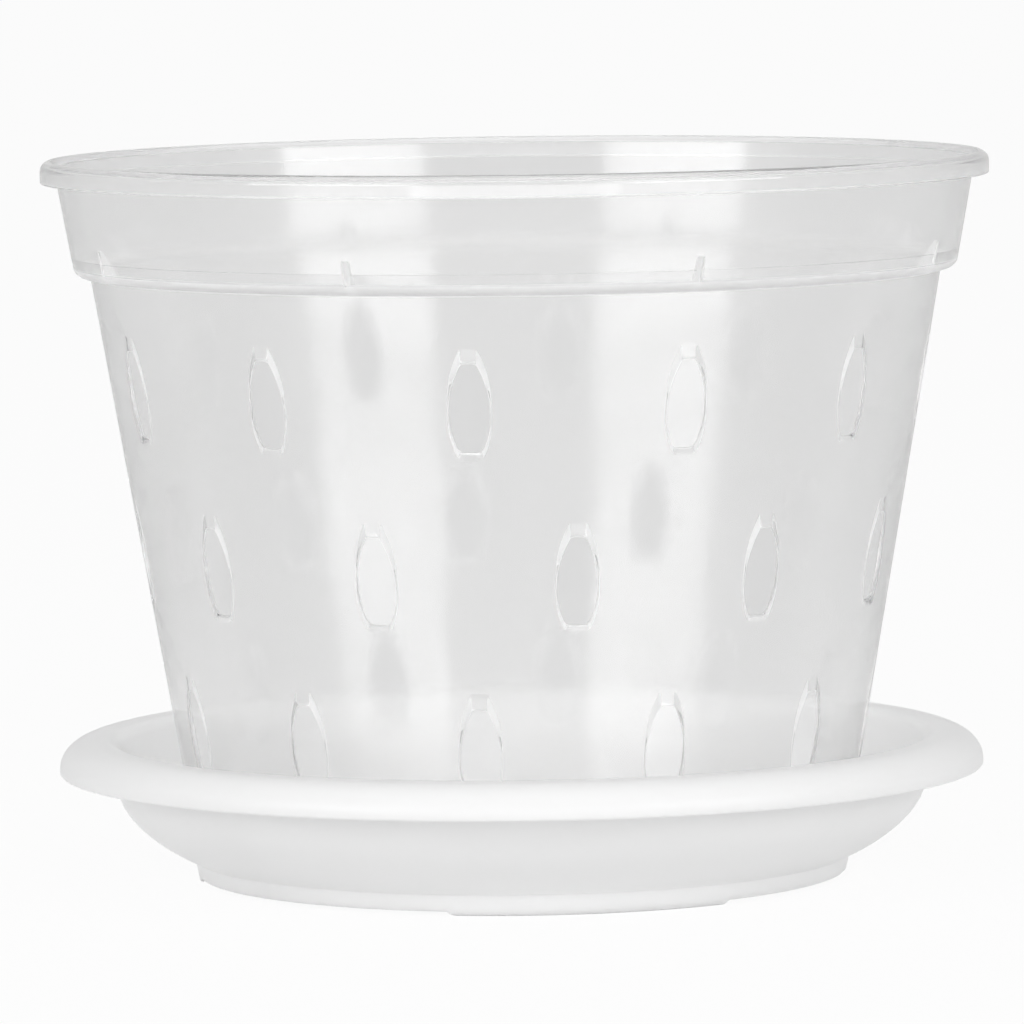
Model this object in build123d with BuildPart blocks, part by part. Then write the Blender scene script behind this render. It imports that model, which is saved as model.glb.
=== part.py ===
from build123d import *
import os
from math import asin, atan2, cos, degrees, radians, sin, tan

# A clear slotted orchid pot that stands loose in its drip saucer, in millimetres.
# The origin is the centre of the plane that the saucer's foot pads stand on, with +Z up.
# -Y is the front: one slot of the top row looks straight along it.

# Driving dimensions of the pot, from its lip inwards and from its rim downwards
lip_radius = 75.0
pot_height = 110.2
pot_wall = 0.9
lip_overhang = 2.6
lip_depth = 3.5
lip_wall = 1.0
lip_outer_round = 1.6
lip_inner_round = 1.1
channel_round = 0.4
collar_height = 18.3
collar_flare = 2.1
crease_rise = 3.2
crease_flare = 0.6
step_width = 2.4
step_round = 0.9
ledge_thickness = 1.0
ledge_round = 1.2
body_flare = 15.8
base_round = 1.2

# Driving dimensions of the pot's floor
floor_thickness = 1.0
floor_raise = 2.4
floor_slope = 1.2
rest_width = 8.0
centre_hole_radius = 4.0
drain_count = 8
drain_length = 16.0
drain_width = 5.0
drain_circle_share = 0.6

# Driving dimensions of the saucer, whose foot ring stands under the edge of the pot's base
saucer_height = 22.5
saucer_wall = 1.2
saucer_reach = 21.9
foot_width = 1.6
foot_height = 2.5
foot_draft = 0.7
pad_height = 0.6
pad_count = 3
pad_span = 50
pad_turn = 19
bowl_foot_gap = 0.25
bowl_curve_depth = 19.8
bowl_floor_round = 5.0
rim_width = 8.9
rim_rise = 6.4
rim_lean = 0.9
rim_inner_round = 1.8
rim_roll_width = 5.3
rim_roll_height = 4.5
rim_edge_depth = 0.8
rim_edge_round = 0.4
rim_throat_round = 0.6

# Driving dimensions of the slots and of the stacking ribs
slot_count = 12
slot_row_shares = (0.2285, 0.52, 0.812)
slot_height = 13.8
slot_width = 6.4
slot_top_width = 1.8
slot_bottom_width = 3.4
slot_belly_share = 0.43
slot_parting_share = 0.25
slot_top_round = 0.5
slot_bottom_round = 0.9
rib_count = 8
rib_turn = -15
rib_width = 1.2
rib_height = 4.3
rib_top_depth = 0.5

# Radii that follow from the driving dimensions
collar_top_radius = lip_radius - lip_overhang
crease_radius = collar_top_radius - collar_flare
step_radius = crease_radius - crease_flare
body_top_radius = step_radius - step_width
base_radius = body_top_radius - body_flare
raised_floor_radius = base_radius - rest_width
foot_radius = base_radius
saucer_radius = foot_radius + saucer_reach
bowl_radius = saucer_radius - rim_width
rim_inner_radius = bowl_radius - saucer_wall + rim_lean
rim_roll_radius = saucer_radius - rim_roll_width

# Levels that follow from the driving dimensions
floor_underside = pad_height + foot_height
saucer_floor = floor_underside + saucer_wall
bowl_curve_top = saucer_height - rim_rise
rim_roll_level = saucer_height - rim_roll_height
rim_edge_level = rim_roll_level - rim_edge_depth
pot_base = saucer_floor
pot_rim = pot_base + pot_height
step_height = pot_height - collar_height
step_level = pot_base + step_height
ledge_level = step_level + ledge_thickness
crease_level = step_level + crease_rise
lip_edge_level = pot_rim - lip_depth
channel_top = pot_rim - lip_wall
body_taper = atan2(body_top_radius - base_radius, step_height)
collar_taper = atan2(collar_top_radius - crease_radius, lip_edge_level - crease_level)
wall_across = pot_wall / cos(body_taper)


def body_radius(level):
    """Outer radius of the tapered body wall at a level."""
    return base_radius + (level - pot_base) * tan(body_taper)


def collar_radius(level):
    """Outer radius of the collar wall, above the crease, at a level."""
    return crease_radius + (level - crease_level) * tan(collar_taper)


def round_corners(profile, corners):
    """Rounds the profile's corners, each given as its point and its radius."""
    for point, radius in corners:
        fillet(profile.vertices().sort_by_distance(point)[0], radius)


def turned_planes(plane, first_turn, count):
    """The plane turned about the Z axis to evenly spaced places, from the first turn on."""
    turns = [first_turn + place * 360 / count for place in range(count)]
    return [Plane(Location((0, 0, 0), (0, 0, turn)) * plane.location) for turn in turns]


# The saucer's shell is one turned outline: floor, curved bowl, crest and the rim that rolls over it
upper_start = degrees(asin((bowl_curve_top - saucer_floor) / (bowl_curve_depth - saucer_wall)))
under_start = degrees(asin((bowl_curve_top - floor_underside) / bowl_curve_depth))
bowl_curve_width = (bowl_radius - foot_radius - bowl_foot_gap) / (1 - cos(radians(under_start)))
bowl_centre = (bowl_radius - bowl_curve_width, bowl_curve_top)
roll_centre = (rim_roll_radius, rim_roll_level)
throat_radius = rim_inner_radius + saucer_wall
rim_underside = saucer_height - saucer_wall

with BuildPart() as saucer:
    with BuildSketch(Plane.XZ) as shell:
        with BuildLine():
            upper_bowl = EllipticalCenterArc(
                bowl_centre,
                bowl_curve_width - saucer_wall,
                bowl_curve_depth - saucer_wall,
                start_angle=-upper_start,
                arc_size=upper_start,
            )
            upper_roll = EllipticalCenterArc(
                roll_centre, rim_roll_width, rim_roll_height, start_angle=90, arc_size=-90
            )
            under_roll = EllipticalCenterArc(
                roll_centre,
                rim_roll_width - saucer_wall,
                rim_roll_height - saucer_wall,
                start_angle=0,
                arc_size=90,
            )
            under_bowl = EllipticalCenterArc(
                bowl_centre,
                bowl_curve_width,
                bowl_curve_depth,
                start_angle=0,
                arc_size=-under_start,
            )
            Polyline(under_bowl @ 1, (0, floor_underside), (0, saucer_floor), upper_bowl @ 0)
            Polyline(upper_bowl @ 1, (rim_inner_radius, saucer_height), upper_roll @ 0)
            Polyline(
                upper_roll @ 1,
                (saucer_radius, rim_edge_level),
                (saucer_radius - saucer_wall, rim_edge_level),
                under_roll @ 0,
            )
            Polyline(under_roll @ 1, (throat_radius, rim_underside), under_bowl @ 0)
        make_face()
        round_corners(
            shell,
            [
                (upper_bowl @ 0, bowl_floor_round),
                ((rim_inner_radius, saucer_height), rim_inner_round),
                ((throat_radius, rim_underside), rim_throat_round),
                ((saucer_radius, rim_edge_level), rim_edge_round),
                ((saucer_radius - saucer_wall, rim_edge_level), rim_edge_round),
            ],
        )
    revolve(axis=Axis.Z)

    # Foot ring under the floor, a little wider at its root
    with BuildSketch(Plane.XZ):
        ring_root = floor_underside + saucer_wall / 2
        with BuildLine():
            Polyline(
                (foot_radius, pad_height),
                (foot_radius + foot_draft, ring_root),
                (foot_radius - foot_width - foot_draft, ring_root),
                (foot_radius - foot_width, pad_height),
                close=True,
            )
        make_face()
    revolve(axis=Axis.Z)

    # Low round-ended pads under the foot ring, which carry the saucer
    with BuildSketch(Plane.XY):
        pad_radius = foot_radius - foot_width / 2
        pad_line = CenterArc(
            (0, 0), pad_radius, start_angle=pad_turn - 90 - pad_span / 2, arc_size=pad_span, mode=Mode.PRIVATE
        )
        with PolarLocations(0, pad_count):
            SlotArc(pad_line, foot_width)
    extrude(amount=pad_height + foot_height / 2)

saucer.part.label = "saucer"

# The pot's shell is one turned outline: raised floor, tapered body, stepped collar and turned-down lip
upper_slope_radius = raised_floor_radius + floor_thickness
rest_radius = raised_floor_radius + floor_slope
inner_floor = pot_base + floor_thickness

with BuildPart() as pot:
    with BuildSketch(Plane.XZ) as shell:
        with BuildLine():
            Polyline(
                (0, pot_base + floor_raise),
                (raised_floor_radius, pot_base + floor_raise),
                (rest_radius, pot_base),
                (base_radius, pot_base),
                (body_top_radius, step_level),
                (step_radius, step_level),
                (crease_radius, crease_level),
                (collar_radius(channel_top), channel_top),
                (lip_radius - lip_wall, channel_top),
                (lip_radius - lip_wall, lip_edge_level),
                (lip_radius, lip_edge_level),
                (lip_radius, pot_rim),
                (collar_radius(pot_rim) - wall_across, pot_rim),
                (crease_radius - wall_across, crease_level),
                (step_radius - wall_across, ledge_level),
                (body_radius(ledge_level) - wall_across, ledge_level),
                (body_radius(inner_floor) - wall_across, inner_floor),
                (rest_radius + floor_thickness, inner_floor),
                (upper_slope_radius, inner_floor + floor_raise),
                (0, inner_floor + floor_raise),
                close=True,
            )
        make_face()
        round_corners(
            shell,
            [
                ((base_radius, pot_base), base_round),
                ((step_radius, step_level), step_round),
                ((step_radius - wall_across, ledge_level), ledge_round),
                ((lip_radius, pot_rim), lip_outer_round),
                ((collar_radius(pot_rim) - wall_across, pot_rim), lip_inner_round),
                ((lip_radius - lip_wall, channel_top), channel_round),
            ],
        )
    revolve(axis=Axis.Z)

    # Stacking ribs stand on the ledge inside the step
    with BuildSketch(*turned_planes(Plane.XZ, rib_turn - 90, rib_count)):
        rib_top = ledge_level + rib_height
        rib_root = ledge_level - ledge_thickness / 2
        with BuildLine():
            Polyline(
                (body_radius(ledge_level) - wall_across, ledge_level),
                (collar_radius(rib_top) - wall_across - rib_top_depth, rib_top),
                (collar_radius(rib_top) - wall_across / 2, rib_top),
                (step_radius - wall_across / 2, rib_root),
                (body_radius(ledge_level) - wall_across / 2, rib_root),
                close=True,
            )
        make_face()
    extrude(amount=rib_width / 2, both=True)

    # Slots: the outline lies on a parting surface inside the wall, is cut square through it, and runs
    # out up the inner face and down the outer face, the way that the two halves of a mould leave it
    belly = slot_height * (slot_belly_share - 1 / 2)
    for row, row_share in enumerate(slot_row_shares):
        level = pot_base + step_height * row_share
        facing = Plane(
            origin=(0, wall_across * slot_parting_share - body_radius(level), level),
            x_dir=(1, 0, 0),
            z_dir=(0, -cos(body_taper), -sin(body_taper)),
        )
        first_turn = row % 2 * 180 / slot_count
        with BuildSketch(*turned_planes(facing, first_turn, slot_count)) as slots:
            with BuildLine():
                Line((0, slot_height / 2), (slot_top_width / 2, slot_height / 2))
                TangentArc((slot_width / 2, belly), (slot_top_width / 2, slot_height / 2), tangent=(0, 1))
                TangentArc((slot_width / 2, belly), (slot_bottom_width / 2, -slot_height / 2), tangent=(0, -1))
                Line((slot_bottom_width / 2, -slot_height / 2), (0, -slot_height / 2))
                mirror(about=Plane.YZ)
            make_face()
            round_corners(
                slots,
                [
                    ((-slot_top_width / 2, slot_height / 2), slot_top_round),
                    ((slot_top_width / 2, slot_height / 2), slot_top_round),
                    ((-slot_bottom_width / 2, -slot_height / 2), slot_bottom_round),
                    ((slot_bottom_width / 2, -slot_height / 2), slot_bottom_round),
                ],
            )
        extrude(amount=pot_wall, both=True, mode=Mode.SUBTRACT)
        extrude(slots.sketch, amount=pot_wall / tan(body_taper), dir=(0, 0, 1), both=True, mode=Mode.SUBTRACT)

    # Drain holes through the raised floor
    with BuildSketch(Plane.XY.offset(pot_base)):
        Circle(centre_hole_radius)
        with PolarLocations(raised_floor_radius * drain_circle_share, drain_count):
            SlotOverall(drain_length, drain_width)
    extrude(amount=floor_raise + floor_thickness * 2, mode=Mode.SUBTRACT)

pot.part.label = "pot"

os.makedirs("parts", exist_ok=True)
export_step(saucer.part, "parts/saucer.step")
export_step(pot.part, "parts/pot.step")
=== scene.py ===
import math

import bmesh
import bpy
from mathutils import Matrix, Vector


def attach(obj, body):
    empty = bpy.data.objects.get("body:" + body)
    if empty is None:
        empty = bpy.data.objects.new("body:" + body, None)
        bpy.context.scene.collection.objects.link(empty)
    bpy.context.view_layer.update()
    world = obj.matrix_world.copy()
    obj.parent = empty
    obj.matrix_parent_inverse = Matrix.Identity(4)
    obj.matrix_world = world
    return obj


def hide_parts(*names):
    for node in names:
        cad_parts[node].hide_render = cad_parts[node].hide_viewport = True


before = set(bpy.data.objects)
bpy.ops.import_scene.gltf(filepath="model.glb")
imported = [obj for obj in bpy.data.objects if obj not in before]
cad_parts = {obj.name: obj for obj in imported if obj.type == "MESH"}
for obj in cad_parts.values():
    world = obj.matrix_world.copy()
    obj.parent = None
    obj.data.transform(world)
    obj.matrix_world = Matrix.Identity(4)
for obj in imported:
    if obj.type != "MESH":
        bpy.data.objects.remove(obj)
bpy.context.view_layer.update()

bl_info = {
    "name": "Slotted orchid pot",
    "version": (1, 0, 0),
    "blender": (4, 5, 0),
    "location": "View3D > Sidebar > Orchid pot",
    "description": "Builds a clear slotted orchid pot that stands in its milky drip saucer",
    "category": "Add Mesh",
}

# Unless a heading says otherwise, sizes are in millimetres and turns in degrees from the front, which is -Y
MILLIMETRE = 0.001
COLUMNS = 192
COLUMN_TURN = 360 / COLUMNS
CREASE_ANGLE = 35
ROUND_STEPS = 6

# Heights that the pot and the saucer share
PAD_HEIGHT = 0.6
FOOT_HEIGHT = 2.5
SAUCER_WALL = 1.2
FLOOR_UNDERSIDE = PAD_HEIGHT + FOOT_HEIGHT
POT_BASE = FLOOR_UNDERSIDE + SAUCER_WALL

# The pot's body, collar and lip
POT_WALL = 0.55
BASE_RADIUS = 51.5
BASE_ROUND = 1.2
BODY_TOP_RADIUS = 67.3
STEP_LEVEL = POT_BASE + 91.9
STEP_RADIUS = 69.7
STEP_ROUND = 1.7
STEP_ROOT_ROUND = 0.35
CREASE_LEVEL = STEP_LEVEL + 3.2
CREASE_RADIUS = 70.3
CREASE_STEP = 0.3
CREASE_RISE = 0.05
LEDGE_LEVEL = STEP_LEVEL + 1.0
LEDGE_ROUND = 1.0
COLLAR_TOP_RADIUS = 72.4
POT_RIM = POT_BASE + 110.2
LIP_RADIUS = 75.0
LIP_DEPTH = 3.5
LIP_WALL = 1.0
LIP_OUTER_ROUND = 1.6
LIP_INNER_ROUND = 1.1
EDGE_ROUND = 0.3

# Numbers of the pot's two finishes
CLEAR = 0
THICK = 1

# The pot's raised floor with its drain holes
FLOOR_RAISE = 2.4
FLOOR_THICKNESS = 1.0
FLOOR_SLOPE = 1.2
RAISED_FLOOR_RADIUS = 43.5
RAISE_ROUND = 0.5
HEEL_ROUND = 0.6
CENTRE_HOLE_RADIUS = 4.0
HUB_RADIUS = 9.0
DRAIN_COUNT = 8
DRAIN_REACH = (18.1, 34.1)
DRAIN_HALF_WIDTH = 2.5
DRAIN_RING = (14.5, 38.0)
DRAIN_END_STEPS = 9
DRAIN_SIDE_STEPS = 18
DRAIN_ROWS = 12
DRAIN_SHARES = (0, 0.3, 0.65, 1)

# The slots in three rows
SLOT_COUNT = 12
SLOT_LEVELS = (25.3, 52.1, 78.9)
SLOT_PITCH = 26.8
SLOT_HEIGHT = 13.8
SLOT_WIDTH = 6.4
SLOT_TOP_WIDTH = 2.2
SLOT_BOTTOM_WIDTH = 3.4
SLOT_BELLY = -0.97
SLOT_BELLY_BAND = 0.01
SLOT_TOP_ROUND = 0.8
SLOT_BOTTOM_ROUND = 1.3
SLOT_PARTING = 0.16
SLOT_PARTING_STEP = 0.02
SLOT_EDGE_ROUND = 0.14
SLOT_EDGE_ANGLES = (0, 30, 60, 90)
SLOT_STEPS = 9
BODY_COLUMNS = 16
BODY_ROWS = 14
BODY_SHARES = (0, 0.08, 0.25, 0.5, 0.75, 1)

# The stacking ribs inside the collar
RIB_COUNT = 8
RIB_TURN = -15
RIB_WIDTH = 1.2
RIB_TOP = LEDGE_LEVEL + 4.3
RIB_TOP_DEPTH = 0.5
RIB_FULL = 0.8
RIB_SHOULDER = 0.95
RIB_SHOULDER_SHARE = 0.9
RIB_ROOM_ABOVE = 0.3
RIB_ROOM_BELOW = 0.6

# The saucer
SAUCER_HEIGHT = 22.5
SAUCER_RADIUS = 73.4
FOOT_RADIUS = 51.5
FOOT_WIDTH = 1.6
FOOT_DRAFT = 0.6
FOOT_EDGE = 0.15
FOOT_SHARES = (0.25, 0.75, 1.0)
PAD_COUNT = 3
PAD_TURN = 19
PAD_SPAN = 50
BOWL_RADIUS = 64.5
BOWL_WIDTH = 51.9
BOWL_TOP = 16.1
BOWL_DEPTH = 19.8
BOWL_ROOT_LEVEL = 3.25
BOWL_FLOOR_ROUND = 5.0
RIM_INNER_RADIUS = 64.2
RIM_INNER_ROUND = 1.8
ROLL_WIDTH = 5.3
ROLL_HEIGHT = 4.5
RIM_EDGE_LEVEL = 17.2
RIM_EDGE_ROUND = 0.4
THROAT_ROUND = 0.6
FLOOR_DISC_RADIUS = 40.0
UNDER_DISC_RADIUS = 25.0
UPPER_BOWL_STEPS = 18
UNDER_BOWL_STEPS = 28
UPPER_ROLL_STEPS = 16
UNDER_ROLL_STEPS = 12

# The camera that matches the photograph's view, in metres and radians, its turn in degrees, its lens in mm
CAMERA_TURN = 6.48
CAMERA_DISTANCE = 1.303087
CAMERA_HEIGHT = 0.168758
CAMERA_PITCH = 0.085
CAMERA_YAW = -0.0008
CAMERA_ROLL = -0.0125
CAMERA_LENS = 289.5

# The lamps, in metres, each size as (width, height)
LAMP_DISTANCE = 0.9
LAMP_AIM = 0.06
SOFTBOX_SIZE = (0.66, 0.24)
SOFTBOX_TURN = 45.5
SOFTBOX_HEIGHT = 0.33
FRONT_SIZE = (0.8, 0.18)
FRONT_HEIGHT = 0.135
TOP_SIZE = (1.0, 1.0)
TOP_HEIGHT = 1.3

# The light tent round the set, and the reach in metres over which its painted pool of light on the ground
# fades
TENT_HUB_RADIUS = 80
TENT_FLOOR_RADIUS = 900
TENT_BEND = 300
TENT_LIFT = 0.4
TENT_HEIGHT = 1500
TENT_CREASE_ANGLE = 60
PAINTED_GROUND_FADE = (0.1, 0.3)

# The refraction of both plastics
PLASTIC_IOR = 1.49

TAPER = math.atan2(BODY_TOP_RADIUS - BASE_RADIUS, STEP_LEVEL - POT_BASE)
COLLAR_TAPER = math.atan2(COLLAR_TOP_RADIUS - CREASE_RADIUS, POT_RIM - LIP_DEPTH - CREASE_LEVEL)
WALL_ACROSS = POT_WALL / math.cos(TAPER)
PAD_END_TURN = math.degrees(FOOT_WIDTH / 2 / FOOT_RADIUS)


def body_radius(level):
    """Outer radius of the tapered body wall at a level."""
    return BASE_RADIUS + (level - POT_BASE) * math.tan(TAPER)


def collar_radius(level):
    """Outer radius of the collar at a level."""
    return CREASE_RADIUS + (level - CREASE_LEVEL) * math.tan(COLLAR_TAPER)


def at_turn(turn, radius, level):
    """The point at a turn from the front, a radius and a level."""
    angle = math.radians(turn)
    return (radius * math.sin(angle), -radius * math.cos(angle), level)


def between(first, second, share):
    """The pair of values a share of the way from one pair to another."""
    return tuple(a + (b - a) * share for a, b in zip(first, second))


def turn_apart(first, second):
    """How far two turns are apart, the short way round."""
    return abs((first - second + 180) % 360 - 180)


def rounded(corners, steps=4):
    """The outline through corners of (radius, level, size of round), with the rounds drawn."""
    outline = []
    for place, (radius, level, size) in enumerate(corners):
        corner = Vector((radius, level))
        if size == 0:
            outline.append((radius, level))
            continue
        before = (Vector(corners[place - 1][:2]) - corner).normalized()
        after = (Vector(corners[place + 1][:2]) - corner).normalized()
        half = before.angle(after) / 2
        reach = size / math.tan(half)
        centre = corner + (before + after).normalized() * size / math.sin(half)
        start = corner + before * reach - centre
        end = corner + after * reach - centre
        sweep = start.angle_signed(end)
        for step in range(steps + 1):
            turned = start.copy()
            turned.rotate(Matrix.Rotation(-sweep * step / steps, 2))
            outline.append(tuple(centre + turned))
    return outline


def ellipse(centre, width, height, start, sweep, steps):
    """Points on an ellipse, in degrees of its own angle."""
    angles = [math.radians(start + sweep * step / steps) for step in range(steps + 1)]
    return [(centre[0] + width * math.cos(a), centre[1] + height * math.sin(a)) for a in angles]


class Shell:
    """Gathers faces by their corner points, and joins the corners that coincide."""

    def __init__(self):
        self.points = []
        self.faces = []
        self.finishes = []
        self.finish = CLEAR
        self.known = {}

    def corner(self, point):
        key = tuple(round(value, 5) for value in point)
        if key not in self.known:
            self.known[key] = len(self.points)
            self.points.append(point)
        return self.known[key]

    def face(self, corners):
        numbers = [self.corner(point) for point in corners]
        numbers = [number for place, number in enumerate(numbers) if number != numbers[place - 1]]
        if len(set(numbers)) > 2:
            self.faces.append(numbers)
            self.finishes.append(self.finish)

    def strips(self, rows):
        """Closes the space between each closed row of points and the next."""
        for first, second in zip(rows, rows[1:]):
            for place in range(len(first)):
                self.face((first[place - 1], first[place], second[place], second[place - 1]))

    def stitch(self, first, second):
        """Closes the space between two closed rows, each of (turn, point), that differ in their points."""
        first = first + [(first[0][0] + 360, first[0][1])]
        second = second + [(second[0][0] + 360, second[0][1])]
        a = 0
        b = 0
        while a < len(first) - 1 or b < len(second) - 1:
            if b == len(second) - 1 or (a < len(first) - 1 and first[a + 1][0] <= second[b + 1][0]):
                self.face((first[a][1], first[a + 1][1], second[b][1]))
                a += 1
            else:
                self.face((first[a][1], second[b + 1][1], second[b][1]))
                b += 1

    def rings(self, outline, turns):
        """Turns an outline of radii and levels about the axis."""
        self.strips([[at_turn(turn, radius, level) for turn in turns] for radius, level in outline])

    def disc(self, radius, level, turns):
        """Closes a ring with one fan of faces."""
        row = [at_turn(turn, radius, level) for turn in turns]
        for place in range(len(row)):
            self.face((row[place - 1], row[place], (0, 0, level)))

    def build(self, name, crease):
        """Makes the mesh object, in metres: smooth up to the crease angle, with its long faces kept true."""
        points = [[value * MILLIMETRE for value in point] for point in self.points]
        mesh = bpy.data.meshes.new(name)
        mesh.from_pydata(points, [], self.faces)
        mesh.polygons.foreach_set("material_index", self.finishes)
        surface = bmesh.new()
        surface.from_mesh(mesh)
        bmesh.ops.recalc_face_normals(surface, faces=surface.faces)
        surface.to_mesh(mesh)
        surface.free()
        mesh.shade_smooth()
        mesh.set_sharp_from_angle(angle=math.radians(crease))
        piece = bpy.data.objects.new(name, mesh)
        normals = piece.modifiers.new("true_faces", "WEIGHTED_NORMAL")
        normals.weight = 80
        normals.keep_sharp = True
        bpy.context.scene.collection.objects.link(piece)
        return piece


def arc_side(half_end, end_level, corner_round, end_steps, round_steps, side_steps):
    """One quarter of a slot's outline, from the middle of its end to its belly, in (across, along)."""
    toward = 1 if end_level > SLOT_BELLY else -1
    reach = abs(end_level - SLOT_BELLY)
    dip = SLOT_WIDTH / 2 - half_end
    big = (dip * dip + reach * reach) / (2 * dip)
    big_centre = SLOT_WIDTH / 2 - big
    small_along = reach - corner_round
    small_across = big_centre + math.sqrt((big - corner_round) ** 2 - small_along**2)
    lean = math.atan2(small_along, small_across - big_centre)
    quarter = [(small_across * step / end_steps, reach) for step in range(end_steps)]
    for step in range(round_steps):
        angle = math.pi / 2 + (lean - math.pi / 2) * step / round_steps
        across = small_across + corner_round * math.cos(angle)
        quarter.append((across, small_along + corner_round * math.sin(angle)))
    for step in range(side_steps + 1):
        angle = lean * (1 - step / side_steps)
        quarter.append((big_centre + big * math.cos(angle), big * math.sin(angle)))
    return [(across, SLOT_BELLY + toward * along) for across, along in quarter]


def slot_outline():
    """The slot's pointed oval in (across, along), from the middle of its top and down its right side."""
    upper = arc_side(SLOT_TOP_WIDTH / 2, SLOT_HEIGHT / 2, SLOT_TOP_ROUND, 1, 4, SLOT_STEPS)
    lower = arc_side(SLOT_BOTTOM_WIDTH / 2, -SLOT_HEIGHT / 2, SLOT_BOTTOM_ROUND, 2, 5, SLOT_STEPS)
    right = upper + lower[::-1][1:]
    left = [(-across, along) for across, along in right[::-1][1:-1]]
    return right + left


def slot_row(outline, level, centre_turn, depth, spread):
    """The slot's outline at a depth under the outer face, in (turn, radius, level), spread by a width.

    Above the belly it runs up the inner face from the parting surface, below it down the outer face.
    """
    row = []
    for place, (across, along) in enumerate(outline):
        after = outline[(place + 1) % len(outline)]
        before = outline[place - 1]
        slope = Vector((before[1] - after[1], after[0] - before[0])).normalized()
        across += slope.x * spread
        run = (depth - SLOT_PARTING) / math.tan(TAPER)
        if along > SLOT_BELLY + SLOT_BELLY_BAND:
            along += max(run, 0)
        elif along < SLOT_BELLY - SLOT_BELLY_BAND:
            along += min(run, 0)
        along += slope.y * spread
        radius = body_radius(level) - WALL_ACROSS * SLOT_PARTING / POT_WALL
        radius += along * math.sin(TAPER) - (depth - SLOT_PARTING) * math.cos(TAPER)
        height = level + along * math.cos(TAPER) + (depth - SLOT_PARTING) * math.sin(TAPER)
        row.append((centre_turn + math.degrees(math.asin(across / radius)), radius, height))
    return row


def cell_border(low, high, centre_turn, columns, rows, half_turn):
    """The border of a cell around one hole, in (turn, height), from the middle of its top to the right.

    Its columns and rows have to give it as many points as the hole's outline has.
    """
    border = [(half_turn * step / (columns // 2), high) for step in range(columns // 2)]
    border += [(half_turn, high + (low - high) * step / rows) for step in range(rows)]
    border += [(half_turn - 2 * half_turn * step / columns, low) for step in range(columns)]
    border += [(-half_turn, low + (high - low) * step / rows) for step in range(rows)]
    border += [(-half_turn + half_turn * step / (columns // 2), high) for step in range(columns // 2)]
    return [(centre_turn + turn, height) for turn, height in border]


def blend_rows(hole, border, shares):
    """Rows of (turn, height) from a hole's edge out to its cell's border."""
    return [[between(a, b, share) for a, b in zip(hole, border)] for share in shares]


def outer_wall(turn, height):
    """The point of the body's outer face at a turn and a height."""
    return at_turn(turn, body_radius(height), height)


def inner_wall(turn, height):
    """The point of the body's inner face at a turn and a height."""
    return at_turn(turn, body_radius(height) - WALL_ACROSS, height)


def slot_wall(shell, outline, cuts, outer_steps):
    """One slot's cut faces: hazy as a thick edge is, apart from the ramps of its run-outs."""
    for step, (first, second) in enumerate(zip(cuts, cuts[1:])):
        for spot in range(len(outline)):
            before, after = outline[spot - 1], outline[spot]
            level_end = abs(after[0] - before[0]) > abs(after[1] - before[1])
            ramp = level_end and (after[1] > SLOT_BELLY) != (step < outer_steps)
            shell.finish = CLEAR if ramp else THICK
            corners = (first[spot - 1], first[spot], second[spot], second[spot - 1])
            shell.face([at_turn(*corner) for corner in corners])
    shell.finish = CLEAR


def pierce_body(shell):
    """The body wall's outer and inner faces with the slots through them, from the lowest cell up."""
    outline = slot_outline()
    angles = [math.radians(angle) for angle in SLOT_EDGE_ANGLES]
    size = SLOT_EDGE_ROUND
    outer_rounds = [(size * (1 - math.cos(a)), size * (1 - math.sin(a))) for a in angles]
    inner_rounds = [(POT_WALL - depth, spread) for depth, spread in reversed(outer_rounds)]
    middle = [(SLOT_PARTING + SLOT_PARTING_STEP, 0), ((SLOT_PARTING + POT_WALL) / 2, 0)]
    section = outer_rounds + middle + inner_rounds
    inset = POT_WALL * math.sin(TAPER)
    half_turn = 180 / SLOT_COUNT
    for row, level in enumerate(SLOT_LEVELS):
        low = level - SLOT_PITCH / 2
        high = level + SLOT_PITCH / 2
        for place in range(SLOT_COUNT):
            centre = (place + row % 2 / 2) * 360 / SLOT_COUNT
            cuts = [slot_row(outline, level, centre, depth, spread) for depth, spread in section]
            slot_wall(shell, outline, cuts, len(outer_rounds))
            for hole, rise, on_wall in ((cuts[0], 0, outer_wall), (cuts[-1], inset, inner_wall)):
                border = cell_border(low + rise, high + rise, centre, BODY_COLUMNS, BODY_ROWS, half_turn)
                edge = [(turn, height) for turn, _radius, height in hole]
                blended = blend_rows(edge, border, BODY_SHARES)
                shell.strips([[on_wall(turn, height) for turn, height in line] for line in blended])
    return SLOT_LEVELS[0] - SLOT_PITCH / 2, SLOT_LEVELS[-1] + SLOT_PITCH / 2, inset


def drain_outline():
    """A drain hole's outline in (across, radius), from the middle of its outer end round by its right."""
    inner, outer = DRAIN_REACH
    half = DRAIN_HALF_WIDTH
    straight = inner - outer + 2 * half
    angles = [math.radians(90 / DRAIN_END_STEPS * step) for step in range(DRAIN_END_STEPS + 1)]
    right = [(half * math.sin(a), outer - half + half * math.cos(a)) for a in angles[:-1]]
    right += [(half, outer - half + straight * step / DRAIN_SIDE_STEPS) for step in range(DRAIN_SIDE_STEPS)]
    right += [(half * math.cos(a), inner + half - half * math.sin(a)) for a in angles]
    left = [(-across, radius) for across, radius in right[::-1][1:-1]]
    return right + left


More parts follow.
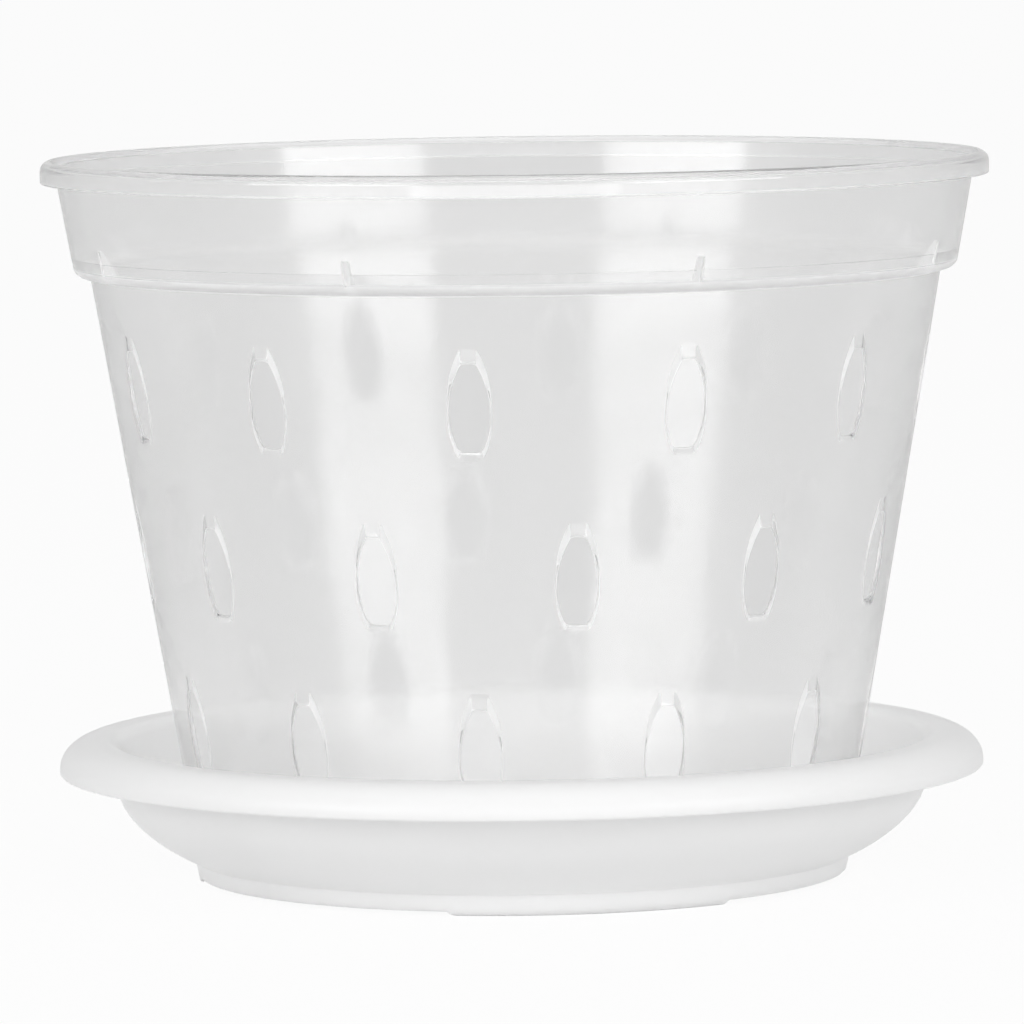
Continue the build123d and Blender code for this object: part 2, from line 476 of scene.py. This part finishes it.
def pierce_floor(shell, turns):
    """The raised floor's two faces with the drain holes through them."""
    outline = drain_outline()
    underside = POT_BASE + FLOOR_RAISE
    levels = (underside, underside + FLOOR_THICKNESS)
    columns = COLUMNS // DRAIN_COUNT
    for place in range(DRAIN_COUNT):
        centre = place * 360 / DRAIN_COUNT
        hole = []
        for across, radius in outline:
            turn = centre + math.degrees(math.atan2(across, radius))
            hole.append((turn, math.hypot(across, radius)))
        border = cell_border(*DRAIN_RING, centre, columns, DRAIN_ROWS, 180 / DRAIN_COUNT)
        blended = blend_rows(hole, border, DRAIN_SHARES)
        for level in levels:
            shell.strips([[at_turn(turn, radius, level) for turn, radius in line] for line in blended])
        shell.strips([[at_turn(turn, radius, level) for turn, radius in hole] for level in levels])
    for level in levels:
        shell.rings([(CENTRE_HOLE_RADIUS, level), (HUB_RADIUS, level), (DRAIN_RING[0], level)], turns)
    shell.rings([(CENTRE_HOLE_RADIUS, level) for level in levels], turns)


def rib_zone(shell, turns):
    """The inner face from above the stacking ribs down to the ledge's inner edge, with the ribs in it."""
    top = collar_radius(RIB_TOP) - WALL_ACROSS
    crease = collar_radius(CREASE_LEVEL) - WALL_ACROSS
    corner = STEP_RADIUS - WALL_ACROSS
    ledge_end = body_radius(LEDGE_LEVEL) - WALL_ACROSS
    plain = rounded(
        [
            (top, RIB_TOP, 0),
            (crease, CREASE_LEVEL + CREASE_RISE, 0),
            (crease - CREASE_STEP, CREASE_LEVEL, 0),
            (corner - CREASE_STEP, LEDGE_LEVEL, LEDGE_ROUND),
            (ledge_end + EDGE_ROUND, LEDGE_LEVEL, 0),
            (ledge_end, LEDGE_LEVEL - EDGE_ROUND / 2, 0),
        ],
        ROUND_STEPS,
    )
    ledge_start = 3
    last = len(plain) - 1
    ribbed = [plain[0]]
    for step in range(last):
        share = step / (last - 1)
        ribbed.append(between((top - RIB_TOP_DEPTH, RIB_TOP), plain[-1], share))
    half = math.degrees(RIB_WIDTH / 2 / corner)
    rib_turns = [RIB_TURN + place * 360 / RIB_COUNT for place in range(RIB_COUNT)]
    fine = list(turns)
    for rib in rib_turns:
        reaches = [side * reach for side in (-1, 1) for reach in (RIB_FULL, RIB_SHOULDER, 1)]
        fine += [(rib + half * reach) % 360 for reach in reaches]
    fine = sorted(set(round(turn, 6) for turn in fine))

    def outline_at(turn):
        """The inner face's outline at a turn, drawn out to the rib where one stands."""
        off = min(turn_apart(turn, rib) for rib in rib_turns) / half
        if off > (RIB_SHOULDER + 1) / 2:
            return plain
        share = 1 if off < (RIB_FULL + RIB_SHOULDER) / 2 else RIB_SHOULDER_SHARE
        return [between(a, b, share) for a, b in zip(plain, ribbed)]

    outlines = [outline_at(turn) for turn in fine]
    rows = []
    for step in range(len(plain)):
        rows.append([at_turn(turn, *outline[step]) for turn, outline in zip(fine, outlines)])
    for step, (first, second) in enumerate(zip(rows, rows[1:])):
        for spot in range(len(fine)):
            ribbed_here = outlines[spot - 1] is not plain or outlines[spot] is not plain
            shell.finish = THICK if ribbed_here or step >= ledge_start else CLEAR
            shell.face((first[spot - 1], first[spot], second[spot], second[spot - 1]))
    shell.finish = CLEAR
    high = RIB_TOP + RIB_ROOM_ABOVE
    low = LEDGE_LEVEL - RIB_ROOM_BELOW
    above = (collar_radius(high) - WALL_ACROSS, high)
    below = (body_radius(low) - WALL_ACROSS, low)
    for row, (radius, level) in ((rows[0], above), (rows[-1], below)):
        shell.stitch(list(zip(fine, row)), [(turn, at_turn(turn, radius, level)) for turn in turns])
    return above, below


def collar_skin(shell, turns, high, above):
    """The collar and the lip, from the slots' upper cells out and over to the ribs, thick at their edges."""
    collar = [
        (body_radius(high), high, 0),
        (BODY_TOP_RADIUS, STEP_LEVEL, STEP_ROOT_ROUND),
        (STEP_RADIUS, STEP_LEVEL, STEP_ROUND),
        (CREASE_RADIUS, CREASE_LEVEL, 0),
        (collar_radius(POT_RIM - LIP_WALL), POT_RIM - LIP_WALL, EDGE_ROUND),
        (LIP_RADIUS - LIP_WALL, POT_RIM - LIP_WALL, EDGE_ROUND),
        (LIP_RADIUS - LIP_WALL, POT_RIM - LIP_DEPTH, EDGE_ROUND),
        (LIP_RADIUS, POT_RIM - LIP_DEPTH, EDGE_ROUND),
        (LIP_RADIUS, POT_RIM, LIP_OUTER_ROUND),
        (collar_radius(POT_RIM) - WALL_ACROSS, POT_RIM, LIP_INNER_ROUND),
        above + (0,),
    ]
    skin = rounded(collar, ROUND_STEPS)
    for first, second in zip(skin, skin[1:]):
        radius, level = between(first, second, 0.5)
        thick_step = STEP_LEVEL - STEP_ROOT_ROUND < level < STEP_LEVEL + STEP_ROUND
        lip_edge = level > POT_RIM - LIP_INNER_ROUND and radius < LIP_RADIUS - LIP_OUTER_ROUND
        in_lip = radius > LIP_RADIUS - LIP_WALL - EDGE_ROUND
        skirt_edge = in_lip and level < POT_RIM - LIP_DEPTH + EDGE_ROUND
        shell.finish = THICK if thick_step or lip_edge or skirt_edge else CLEAR
        shell.rings([first, second], turns)
    shell.finish = CLEAR


def pot_shell():
    """The whole pot as one closed skin."""
    turns = [COLUMN_TURN * column for column in range(COLUMNS)]
    shell = Shell()
    underside = POT_BASE + FLOOR_RAISE
    inner_floor = POT_BASE + FLOOR_THICKNESS
    rest_radius = RAISED_FLOOR_RADIUS + FLOOR_SLOPE
    pierce_floor(shell, turns)
    low, high, inset = pierce_body(shell)
    above, below = rib_zone(shell, turns)
    base = [
        (DRAIN_RING[1], underside, 0),
        (RAISED_FLOOR_RADIUS, underside, RAISE_ROUND),
        (rest_radius, POT_BASE, EDGE_ROUND),
        (BASE_RADIUS, POT_BASE, BASE_ROUND),
        (body_radius(low), low, 0),
    ]
    shell.rings(rounded(base, ROUND_STEPS), turns)
    collar_skin(shell, turns, high, above)
    inside = [
        below + (0,),
        (body_radius(high + inset) - WALL_ACROSS, high + inset, 0),
    ]
    shell.rings(rounded(inside), turns)
    floor = [
        (body_radius(low + inset) - WALL_ACROSS, low + inset, 0),
        (body_radius(inner_floor) - WALL_ACROSS, inner_floor, HEEL_ROUND),
        (rest_radius + FLOOR_THICKNESS, inner_floor, EDGE_ROUND),
        (RAISED_FLOOR_RADIUS + FLOOR_THICKNESS, inner_floor + FLOOR_RAISE, RAISE_ROUND),
        (DRAIN_RING[1], inner_floor + FLOOR_RAISE, 0),
    ]
    shell.rings(rounded(floor), turns)
    return shell


def pad_middles():
    """The turns of the pads' middles."""
    return [PAD_TURN + place * 360 / PAD_COUNT for place in range(PAD_COUNT)]


def saucer_turns():
    """The turns of the saucer's columns, which stand closer where a pad ends."""
    turns = [COLUMN_TURN * column for column in range(COLUMNS)]
    ends = [middle + side * PAD_SPAN / 2 for middle in pad_middles() for side in (-1, 1)]
    turns += [(end + PAD_END_TURN * share) % 360 for end in ends for share in (-1, -0.6, 0, 0.6, 1)]
    return sorted(set(round(turn, 6) for turn in turns))


def foot_level(turn):
    """The level of the foot ring's lower edge at a turn, down to the table under a pad."""
    off = min(turn_apart(turn, middle) for middle in pad_middles())
    share = min(max((PAD_SPAN / 2 + PAD_END_TURN - off) / (2 * PAD_END_TURN), 0), 1)
    return PAD_HEIGHT * (1 - math.sin(share * math.pi / 2))


def foot_row(turns, root, radius, share, edge):
    """One row of the foot ring, a share of the way from its root to its lower edge."""
    return [at_turn(turn, *between(root, (radius, foot_level(turn) + edge), share)) for turn in turns]


def foot_ring(shell, turns, outer_root):
    """The foot ring with its pads, and the saucer's flat underside within it."""
    outer = FOOT_RADIUS
    inner = FOOT_RADIUS - FOOT_WIDTH
    inner_root = (inner - FOOT_DRAFT, FLOOR_UNDERSIDE)
    rows = [[at_turn(turn, *outer_root) for turn in turns]]
    rows += [foot_row(turns, outer_root, outer, share, FOOT_EDGE) for share in FOOT_SHARES]
    rows += [foot_row(turns, outer_root, radius, 1.0, 0) for radius in (outer - FOOT_EDGE, inner + FOOT_EDGE)]
    rows += [foot_row(turns, inner_root, inner, share, FOOT_EDGE) for share in FOOT_SHARES[::-1]]
    rows += [[at_turn(turn, *inner_root) for turn in turns]]
    shell.strips(rows)
    shell.rings([inner_root, (UNDER_DISC_RADIUS, FLOOR_UNDERSIDE)], turns)
    shell.disc(UNDER_DISC_RADIUS, FLOOR_UNDERSIDE, turns)


def saucer_outline():
    """The saucer's outline, from its upper face's middle up the bowl, over the rim and back under it."""
    bowl_centre = (BOWL_RADIUS - BOWL_WIDTH, BOWL_TOP)
    roll_centre = (SAUCER_RADIUS - ROLL_WIDTH, SAUCER_HEIGHT - ROLL_HEIGHT)
    inner_width = BOWL_WIDTH - SAUCER_WALL
    inner_depth = BOWL_DEPTH - SAUCER_WALL
    upper_start = math.degrees(math.asin((BOWL_TOP - POT_BASE) / inner_depth))
    under_start = math.degrees(math.asin((BOWL_TOP - BOWL_ROOT_LEVEL) / BOWL_DEPTH))
    upper_bowl = ellipse(bowl_centre, inner_width, inner_depth, -upper_start, upper_start, UPPER_BOWL_STEPS)
    under_bowl = ellipse(bowl_centre, BOWL_WIDTH, BOWL_DEPTH, 0, -under_start, UNDER_BOWL_STEPS)
    under_width = ROLL_WIDTH - SAUCER_WALL
    under_height = ROLL_HEIGHT - SAUCER_WALL
    under_roll = ellipse(roll_centre, under_width, under_height, 0, 90, UNDER_ROLL_STEPS)
    upper_roll = ellipse(roll_centre, ROLL_WIDTH, ROLL_HEIGHT, 90, -90, UPPER_ROLL_STEPS)
    outline = [(FLOOR_DISC_RADIUS, POT_BASE, 0), upper_bowl[0] + (BOWL_FLOOR_ROUND,)]
    outline += [point + (0,) for point in upper_bowl[1:]]
    outline += [(RIM_INNER_RADIUS, SAUCER_HEIGHT, RIM_INNER_ROUND)]
    outline += [point + (0,) for point in upper_roll]
    outline += [(SAUCER_RADIUS, RIM_EDGE_LEVEL, RIM_EDGE_ROUND)]
    outline += [(SAUCER_RADIUS - SAUCER_WALL, RIM_EDGE_LEVEL, RIM_EDGE_ROUND)]
    outline += [point + (0,) for point in under_roll]
    outline += [(RIM_INNER_RADIUS + SAUCER_WALL, SAUCER_HEIGHT - SAUCER_WALL, THROAT_ROUND)]
    outline += [point + (0,) for point in under_bowl]
    return rounded(outline)


def saucer_shell():
    """The whole saucer as one closed skin, with the three pads under its foot ring."""
    turns = saucer_turns()
    skin = saucer_outline()
    shell = Shell()
    shell.disc(FLOOR_DISC_RADIUS, POT_BASE, turns)
    shell.rings(skin, turns)
    foot_ring(shell, turns, skin[-1])
    return shell


class Value:
    """A number from a shader socket, so that sums on it add their Math nodes."""

    def __init__(self, tree, socket):
        self.tree = tree
        self.socket = socket

    def _math(self, operation, first, second):
        node = add_node(self.tree, "ShaderNodeMath", {"operation": operation}, {0: first, 1: second})
        return Value(self.tree, node.outputs[0])

    def __add__(self, other):
        return self._math("ADD", self, other)

    __radd__ = __add__

    def __mul__(self, other):
        return self._math("MULTIPLY", self, other)

    __rmul__ = __mul__

    def __sub__(self, other):
        return self._math("SUBTRACT", self, other)

    def __rsub__(self, other):
        return self._math("SUBTRACT", other, self)


def add_node(tree, kind, settings, inputs):
    """Adds a shader node: its settings first, then the values or links of its sockets."""
    node = tree.nodes.new(kind)
    for name, value in settings.items():
        setattr(node, name, value)
    for name, value in inputs.items():
        if isinstance(value, Value):
            tree.links.new(value.socket, node.inputs[name])
        elif isinstance(value, bpy.types.NodeSocket):
            tree.links.new(value, node.inputs[name])
        else:
            node.inputs[name].default_value = value
    return node


def new_material(name):
    """An empty material with its output node."""
    material = bpy.data.materials.new(name)
    material.use_nodes = True
    material.node_tree.nodes.clear()
    output = material.node_tree.nodes.new("ShaderNodeOutputMaterial")
    return material, material.node_tree, output


def noise(tree, scale, detail, stretch=(1, 1, 1)):
    """Noise over the object's own coordinates, as a value about one half."""
    place = add_node(tree, "ShaderNodeTexCoord", {}, {})
    drawn = add_node(tree, "ShaderNodeMapping", {}, {"Vector": place.outputs["Object"], "Scale": stretch})
    sockets = {"Vector": drawn.outputs["Vector"], "Scale": scale, "Detail": detail}
    cloud = add_node(tree, "ShaderNodeTexNoise", {}, sockets)
    return Value(tree, cloud.outputs["Fac"])


def clear_plastic(finish, name, clearness, roughness):
    """Clear polypropylene with a light haze and the faint waves that moulding leaves."""
    material, tree, output = new_material(name)
    waves = noise(tree, 22, 2, (1, 1, 0.35))
    grain = noise(tree, 260, 3)
    relief = {"Height": waves + grain * 0.03, "Strength": 0.25, "Distance": 0.0006}
    bump = add_node(tree, "ShaderNodeBump", {}, relief)
    sockets = {
        "Base Color": (*finish.clear_colour, 1),
        "Roughness": roughness + (waves - 0.5) * 0.05,
        "IOR": PLASTIC_IOR,
        "Transmission Weight": clearness,
        "Normal": bump.outputs["Normal"],
    }
    plastic = add_node(tree, "ShaderNodeBsdfPrincipled", {}, sockets)
    path = add_node(tree, "ShaderNodeLightPath", {}, {})
    passing = Value(tree, path.outputs["Is Shadow Ray"]) * finish.clear_shadow
    gap = add_node(tree, "ShaderNodeBsdfTransparent", {}, {"Color": (*finish.clear_colour, 1)})
    layers = {0: passing, 1: plastic.outputs["BSDF"], 2: gap.outputs["BSDF"]}
    mix = add_node(tree, "ShaderNodeMixShader", {}, layers)
    tree.links.new(mix.outputs["Shader"], output.inputs["Surface"])
    return material


def milky_plastic(finish):
    """Milky polypropylene: light soaks in and comes out soft, under a satin skin."""
    material, tree, output = new_material("milky_plastic")
    waves = noise(tree, 18, 2)
    grain = noise(tree, 320, 3)
    relief = {"Height": waves * 0.6 + grain * 0.06, "Strength": 0.2, "Distance": 0.0006}
    bump = add_node(tree, "ShaderNodeBump", {}, relief)
    sockets = {
        "Base Color": (*finish.milky_colour, 1),
        "Roughness": finish.milky_roughness + (waves - 0.5) * 0.1,
        "IOR": PLASTIC_IOR,
        "Subsurface Weight": 1.0,
        "Subsurface Radius": (1, 1, 1),
        "Subsurface Scale": finish.milky_depth,
        "Normal": bump.outputs["Normal"],
    }
    plastic = add_node(tree, "ShaderNodeBsdfPrincipled", {}, sockets)
    tree.links.new(plastic.outputs["BSDF"], output.inputs["Surface"])
    return material


def seen_share(tree):
    """One for rays from the camera and for mirrored or transmitted rays, nought for the rest."""
    path = add_node(tree, "ShaderNodeLightPath", {}, {})
    names = ("Is Camera Ray", "Is Glossy Ray", "Is Transmission Ray")
    seen, mirrored, passed = [Value(tree, path.outputs[name]) for name in names]
    clamped = {"operation": "ADD", "use_clamp": True}
    total = add_node(tree, "ShaderNodeMath", clamped, {0: seen + mirrored, 1: passed})
    return Value(tree, total.outputs[0])


def floor_finish(stage):
    """A plain pale floor that shows near white and keeps the object's shadow."""
    material, tree, output = new_material("pale_floor")
    cover = add_node(tree, "ShaderNodeBsdfDiffuse", {}, {"Color": (*stage.floor_colour, 1)})
    glow = add_node(tree, "ShaderNodeEmission", {}, {"Color": (1, 1, 1, 1), "Strength": 1.0})
    share = seen_share(tree) * (1 - stage.floor_shadow)
    mix = add_node(tree, "ShaderNodeMixShader", {}, {0: share, 1: cover.outputs[0], 2: glow.outputs[0]})
    tree.links.new(mix.outputs[0], output.inputs["Surface"])
    return material


def tent_finish(stage):
    """The light tent's own even light, with a painted pool of light for the lit ground close round the pot.
    """
    material, tree, output = new_material("light_tent")
    place = add_node(tree, "ShaderNodeTexCoord", {}, {})
    reach = add_node(tree, "ShaderNodeVectorMath", {"operation": "LENGTH"}, {0: place.outputs["Object"]})
    # Painted pool of light: the tent's glow turns brighter close round the pot, standing in for the lit
    # ground
    near, far = PAINTED_GROUND_FADE
    ends = {"Value": reach.outputs["Value"], "From Min": near, "From Max": far, "To Min": 1.0, "To Max": 0.0}
    fade = add_node(tree, "ShaderNodeMapRange", {"interpolation_type": "SMOOTHSTEP"}, ends)
    tints = {0: fade.outputs["Result"], 6: (*stage.tent_colour, 1), 7: (*stage.painted_ground_light, 1)}
    tint = add_node(tree, "ShaderNodeMix", {"data_type": "RGBA"}, tints)
    cover = add_node(tree, "ShaderNodeEmission", {}, {"Color": tint.outputs[2], "Strength": 1.0})
    tree.links.new(cover.outputs[0], output.inputs["Surface"])
    return material


def world_light(stage):
    """An even pale world: white where it is seen, softer where it lights."""
    world = bpy.data.worlds.new("studio_world")
    world.use_nodes = True
    tree = world.node_tree
    tree.nodes.clear()
    fill = add_node(tree, "ShaderNodeBackground", {}, {"Color": (1, 1, 1, 1), "Strength": stage.fill_light})
    white = add_node(tree, "ShaderNodeBackground", {}, {"Color": (1, 1, 1, 1), "Strength": 1.0})
    layers = {0: seen_share(tree), 1: fill.outputs[0], 2: white.outputs[0]}
    mix = add_node(tree, "ShaderNodeMixShader", {}, layers)
    output = tree.nodes.new("ShaderNodeOutputWorld")
    tree.links.new(mix.outputs[0], output.inputs["Surface"])
    bpy.context.scene.world = world


def facing_turn(turn, height):
    """Where a lamp stands, at a turn from the camera's side, looking at the pot."""
    spot = Vector(at_turn(CAMERA_TURN + turn, LAMP_DISTANCE, height))
    aim = Vector((0, 0, LAMP_AIM)) - spot
    return Matrix.Translation(spot) @ aim.to_track_quat("-Z", "Y").to_matrix().to_4x4()


def area_light(context, name, size, power, pose):
    """One soft lamp, which the camera doesn't see."""
    light = bpy.data.lights.new(name, "AREA")
    light.shape = "RECTANGLE"
    light.size, light.size_y = size
    light.energy = power
    lamp = bpy.data.objects.new(name, light)
    lamp.matrix_world = pose
    lamp.visible_camera = False
    context.scene.collection.objects.link(lamp)


class PotFinish(bpy.types.PropertyGroup):
    """Colours and clearness of the two plastics."""

    clear_colour: bpy.props.FloatVectorProperty(
        name="Clear colour",
        description="Tint of the clear pot",
        subtype="COLOR",
        default=(0.98, 0.98, 0.98),
    )
    clear_transmission: bpy.props.FloatProperty(
        name="Clearness",
        description="Share of light that passes the clear plastic",
        subtype="FACTOR",
        min=0,
        max=1,
        default=0.91,
    )
    clear_roughness: bpy.props.FloatProperty(
        name="Clear roughness",
        description="Haze of the clear plastic",
        subtype="FACTOR",
        min=0,
        max=1,
        default=0.1,
    )
    clear_shadow: bpy.props.FloatProperty(
        name="Light through the wall",
        description="Share of the lamps' light that each clear face lets by",
        subtype="FACTOR",
        min=0,
        max=1,
        default=0.9,
    )
    edge_clearness: bpy.props.FloatProperty(
        name="Edge clearness",
        description="Share of light that passes the slots' cut faces and the thick places",
        subtype="FACTOR",
        min=0,
        max=1,
        default=0.6,
    )
    edge_roughness: bpy.props.FloatProperty(
        name="Edge roughness",
        description="Haze of the slots' cut faces and the thick places",
        subtype="FACTOR",
        min=0,
        max=1,
        default=0.35,
    )
    milky_colour: bpy.props.FloatVectorProperty(
        name="Milky colour",
        description="Colour of the saucer",
        subtype="COLOR",
        default=(0.97, 0.97, 0.97),
    )
    milky_roughness: bpy.props.FloatProperty(
        name="Milky roughness",
        description="Softness of the saucer's shine",
        subtype="FACTOR",
        min=0,
        max=1,
        default=0.38,
    )
    milky_depth: bpy.props.FloatProperty(
        name="Milky depth",
        description="How far light soaks into the saucer",
        subtype="DISTANCE",
        unit="LENGTH",
        min=0,
        default=0.003,
    )


class PotStage(bpy.types.PropertyGroup):
    """Floor, light and surroundings of the object."""

    floor_size: bpy.props.FloatProperty(
        name="Floor size",
        description="Side of the square floor",
        subtype="DISTANCE",
        unit="LENGTH",
        default=24.0,
    )
    floor_colour: bpy.props.FloatVectorProperty(
        name="Floor colour",
        description="Colour of the plain floor",
        subtype="COLOR",
        default=(0.88, 0.88, 0.88),
    )
    floor_shadow: bpy.props.FloatProperty(
        name="Floor shadow",
        description="Share of the object's shadow that the pale floor shows",
        subtype="FACTOR",
        min=0,
        max=1,
        default=0.07,
    )
    fill_light: bpy.props.FloatProperty(
        name="Fill light",
        description="Strength of the even light from all round",
        min=0,
        default=0.55,
    )
    softbox_power: bpy.props.FloatProperty(
        name="Softbox power",
        description="Power of each of the two softboxes",
        unit="POWER",
        min=0,
        default=1.8,
    )
    top_power: bpy.props.FloatProperty(
        name="Top light power",
        description="Power of the soft light overhead",
        unit="POWER",
        min=0,
        default=1.4,
    )
    front_power: bpy.props.FloatProperty(
        name="Front light power",
        description="Power of the low soft light at the camera's side",
        unit="POWER",
        min=0,
        default=1.0,
    )
    tent_colour: bpy.props.FloatVectorProperty(
        name="Tent colour",
        description="Colour of the light tent that the clear plastic shows",
        subtype="COLOR",
        default=(0.68, 0.68, 0.68),
    )
    # Painted pool of light: the brighter glow of the tent's ground close round the pot, as the plastic shows
    # it
    painted_ground_light: bpy.props.FloatVectorProperty(
        name="Ground colour",
        description="Colour of the lit ground close round the pot, as the plastic shows it",
        subtype="COLOR",
        default=(0.95, 0.95, 0.95),
    )


class ORCHID_OT_pot(bpy.types.Operator):
    """Build the clear slotted pot"""

    bl_idname = "orchid.build_pot"
    bl_label = "Clear slotted pot"

    def execute(self, context):
        pot = pot_shell().build("pot_shell", CREASE_ANGLE)
        finish = context.scene.orchid_finish
        for name, clearness, roughness in (
            ("clear_plastic", finish.clear_transmission, finish.clear_roughness),
            ("clear_thick_edge", finish.edge_clearness, finish.edge_roughness),
        ):
            pot.data.materials.append(clear_plastic(finish, name, clearness, roughness))
        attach(pot, "pot")
        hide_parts("pot")
        return {"FINISHED"}


class ORCHID_OT_saucer(bpy.types.Operator):
    """Build the milky drip saucer"""

    bl_idname = "orchid.build_saucer"
    bl_label = "Milky drip saucer"

    def execute(self, context):
        saucer = saucer_shell().build("saucer_shell", CREASE_ANGLE)
        saucer.data.materials.append(milky_plastic(context.scene.orchid_finish))
        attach(saucer, "saucer")
        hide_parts("saucer")
        return {"FINISHED"}


class ORCHID_OT_stage(bpy.types.Operator):
    """Build the pale floor, the soft studio light and the camera"""

    bl_idname = "orchid.build_stage"
    bl_label = "Floor, light and camera"

    def execute(self, context):
        stage = context.scene.orchid_stage
        self.floor(context, stage)
        world_light(stage)
        for side in (-1, 1):
            pose = facing_turn(side * SOFTBOX_TURN, SOFTBOX_HEIGHT)
            area_light(context, "softbox", SOFTBOX_SIZE, stage.softbox_power, pose)
        overhead = Matrix.Translation((0, 0, TOP_HEIGHT))
        area_light(context, "top_light", TOP_SIZE, stage.top_power, overhead)
        area_light(context, "front_light", FRONT_SIZE, stage.front_power, facing_turn(0, FRONT_HEIGHT))
        self.tent(stage)
        self.camera(context)
        context.scene.view_settings.view_transform = "Standard"
        context.scene.cycles.max_bounces = 24
        context.scene.cycles.diffuse_bounces = 12
        context.scene.cycles.glossy_bounces = 16
        context.scene.cycles.transmission_bounces = 24
        return {"FINISHED"}

    def floor(self, context, stage):
        half = stage.floor_size / 2
        mesh = bpy.data.meshes.new("floor")
        corners = [(-half, -half, 0), (half, -half, 0), (half, half, 0), (-half, half, 0)]
        mesh.from_pydata(corners, [], [(0, 1, 2, 3)])
        mesh.materials.append(floor_finish(stage))
        floor = bpy.data.objects.new("floor", mesh)
        context.scene.collection.objects.link(floor)

    def tent(self, stage):
        bend = [math.radians(angle) for angle in range(15, 91, 15)]
        top = TENT_LIFT + TENT_BEND
        profile = [(TENT_HUB_RADIUS, TENT_LIFT), (TENT_FLOOR_RADIUS, TENT_LIFT)]
        for angle in bend:
            radius = TENT_FLOOR_RADIUS + TENT_BEND * math.sin(angle)
            profile += [(radius, top - TENT_BEND * math.cos(angle))]
        profile += [(TENT_FLOOR_RADIUS + TENT_BEND, TENT_HEIGHT)]
        turns = [COLUMN_TURN * column for column in range(COLUMNS)]
        shell = Shell()
        shell.rings(profile, turns)
        tent = shell.build("light_tent", TENT_CREASE_ANGLE)
        tent.data.materials.append(tent_finish(stage))
        for ray in ("camera", "diffuse", "shadow", "volume_scatter"):
            setattr(tent, "visible_" + ray, False)

    def camera(self, context):
        lens = bpy.data.cameras.new("camera")
        lens.lens = CAMERA_LENS
        lens.clip_start = 0.01
        lens.clip_end = 50
        view = bpy.data.objects.new("camera", lens)
        context.scene.collection.objects.link(view)
        yaw, pitch, roll = CAMERA_YAW, CAMERA_PITCH, CAMERA_ROLL
        level = Vector((math.sin(yaw), math.cos(yaw), 0))
        ahead = level * math.cos(pitch) - Vector((0, 0, math.sin(pitch)))
        right = Vector((math.cos(yaw), -math.sin(yaw), 0))
        up = right.cross(ahead)
        rolled_right = right * math.cos(roll) + up * math.sin(roll)
        rolled_up = up * math.cos(roll) - right * math.sin(roll)
        pose = Matrix((rolled_right, rolled_up, -ahead)).transposed().to_4x4()
        pose.translation = (0, -CAMERA_DISTANCE, CAMERA_HEIGHT)
        view.matrix_world = Matrix.Rotation(math.radians(CAMERA_TURN), 4, "Z") @ pose
        context.scene.camera = view


class ORCHID_PT_panel(bpy.types.Panel):
    """Lists the finishes, the stage and the build steps"""

    bl_label = "Orchid pot"
    bl_idname = "ORCHID_PT_panel"
    bl_space_type = "VIEW_3D"
    bl_region_type = "UI"
    bl_category = "Orchid pot"

    def draw(self, context):
        for group in (context.scene.orchid_finish, context.scene.orchid_stage):
            for name in group.bl_rna.properties.keys():
                if name not in ("rna_type", "name"):
                    self.layout.prop(group, name)
        for step in BUILD_STEPS:
            self.layout.operator(step.bl_idname)


BUILD_STEPS = (ORCHID_OT_saucer, ORCHID_OT_pot, ORCHID_OT_stage)
CLASSES = (PotFinish, PotStage) + BUILD_STEPS + (ORCHID_PT_panel,)


def register():
    for cls in CLASSES:
        bpy.utils.register_class(cls)
    bpy.types.Scene.orchid_finish = bpy.props.PointerProperty(type=PotFinish)
    bpy.types.Scene.orchid_stage = bpy.props.PointerProperty(type=PotStage)


def unregister():
    del bpy.types.Scene.orchid_stage
    del bpy.types.Scene.orchid_finish
    for cls in reversed(CLASSES):
        bpy.utils.unregister_class(cls)


def main():
    register()
    bpy.ops.orchid.build_saucer()
    bpy.ops.orchid.build_pot()
    bpy.ops.orchid.build_stage()
    bpy.context.view_layer.update()


if __name__ == "__main__":
    main()
